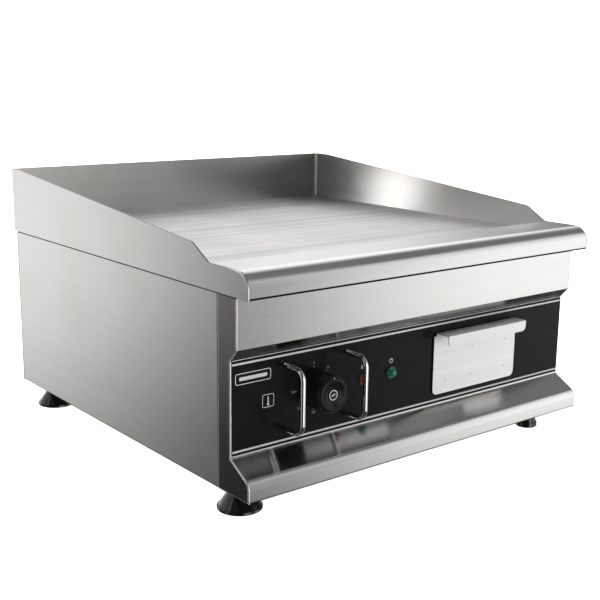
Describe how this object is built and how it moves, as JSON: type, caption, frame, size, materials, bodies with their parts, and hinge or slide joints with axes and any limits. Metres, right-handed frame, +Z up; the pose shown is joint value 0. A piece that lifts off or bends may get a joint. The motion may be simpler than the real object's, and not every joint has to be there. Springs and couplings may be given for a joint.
{
  "type": "flat top griddle",
  "caption": "Electric countertop griddle: flat steel cooking plate with a three-sided splash guard, thermostat knob between guard rails, grease drawer and levelling feet.",
  "frame": {"origin": "on the floor under the middle of the overall box", "axes": "+X to the right seen from the front, +Y to the rear, +Z up; the controls face -Y"},
  "size_m": [0.6, 0.6385, 0.366],
  "materials": {
    "stainless_body": "brushed stainless sheet, fine horizontal grain",
    "stainless_top": "brushed stainless sheet, fine grain along each bend",
    "plate_steel": "ground and polished plate",
    "fascia_black": "smooth satin black film",
    "chrome": "bright plated",
    "knob_black": "moulded, semi-gloss",
    "foot_black": "moulded, glossy",
    "drawer_steel": "satin sheet",
    "galvanised": "zinc coated sheet",
    "element_sheath": "heat-tinted tube",
    "mineral_wool": "fibrous",
    "cream_plastic": "moulded",
    "copper": "drawn copper tube",
    "brass": "turned",
    "black_plastic": "moulded",
    "green_lens": "moulded lens",
    "orange_lens": "moulded lens",
    "red_plastic": "moulded"
  },
  "bodies": {
    "body": {"side_panel_left": "stainless_body", "side_panel_right": "stainless_body", "rear_panel": "stainless_body", "front_cheek_left": "stainless_body", "front_cheek_right": "stainless_body", "front_panel": "stainless_body", "splash_guard": "stainless_top", "front_deck": "stainless_top", "griddle_plate": "plate_steel", "fascia_overlay": "fascia_black", "guard_rail_left": "chrome", "guard_rail_right": "chrome", "base_plate": "galvanised", "plate_support_left": "galvanised", "plate_support_right": "galvanised", "front_crossmember": "galvanised", "element_clamp_front": "galvanised", "element_clamp_rear": "galvanised", "heat_shield": "galvanised", "drawer_guide_left": "galvanised", "drawer_guide_right": "galvanised", "foot_bush_front_left": "galvanised", "foot_bush_front_right": "galvanised", "foot_bush_rear_left": "galvanised", "foot_bush_rear_right": "galvanised", "rail_nut_left_upper": "galvanised", "rail_nut_left_lower": "galvanised", "rail_nut_right_upper": "galvanised", "rail_nut_right_lower": "galvanised", "earth_nut": "galvanised", "heating_element_1": "element_sheath", "heating_element_2": "element_sheath", "heating_element_3": "element_sheath", "drain_spout": "element_sheath", "insulation_blanket": "mineral_wool", "thermostat_body": "cream_plastic", "overheat_cutout": "cream_plastic", "terminal_block": "cream_plastic", "thermostat_capillary": "copper", "cutout_capillary": "copper", "earth_stud": "brass", "gland_body": "black_plastic", "gland_cap": "black_plastic", "gland_locknut": "black_plastic", "lamp_body_green": "black_plastic", "lamp_body_orange": "black_plastic", "wiring_loom": "black_plastic", "lamp_lens_green": "green_lens", "lamp_lens_orange": "orange_lens"},
    "knob_body": {"knob": "knob_black", "knob_cap": "knob_black", "thermostat_spindle": "brass"},
    "drawer": {"drawer_front": "drawer_steel", "drawer_pan": "drawer_steel"},
    "reset_button": {"reset_button": "red_plastic"},
    "foot_front_left": {"foot_front_left": "foot_black"},
    "foot_front_right": {"foot_front_right": "foot_black"},
    "foot_rear_left": {"foot_rear_left": "foot_black"},
    "foot_rear_right": {"foot_rear_right": "foot_black"}
  },
  "joints": [
    {"name": "knob_turn", "type": "hinge", "parent": "body", "child": "knob_body", "pos_m": [-0.175, -0.2752, 0.1415], "axis": [0, 1, 0], "range_deg": [0, 270]},
    {"name": "drawer_slide", "type": "slide", "parent": "body", "child": "drawer", "axis": [0, -1, 0], "range_m": [0, 0.3]},
    {"name": "reset_press", "type": "slide", "parent": "body", "child": "reset_button", "axis": [0, -1, 0], "range_m": [0, 0.002], "stiffness_N_per_m": 600},
    {"name": "foot_front_left_screw", "type": "slide", "parent": "body", "child": "foot_front_left", "axis": [0, 0, 1], "range_m": [-0.015, 0]},
    {"name": "foot_front_right_screw", "type": "slide", "parent": "body", "child": "foot_front_right", "axis": [0, 0, 1], "range_m": [-0.015, 0]},
    {"name": "foot_rear_left_screw", "type": "slide", "parent": "body", "child": "foot_rear_left", "axis": [0, 0, 1], "range_m": [-0.015, 0]},
    {"name": "foot_rear_right_screw", "type": "slide", "parent": "body", "child": "foot_rear_right", "axis": [0, 0, 1], "range_m": [-0.015, 0]}
  ]
}
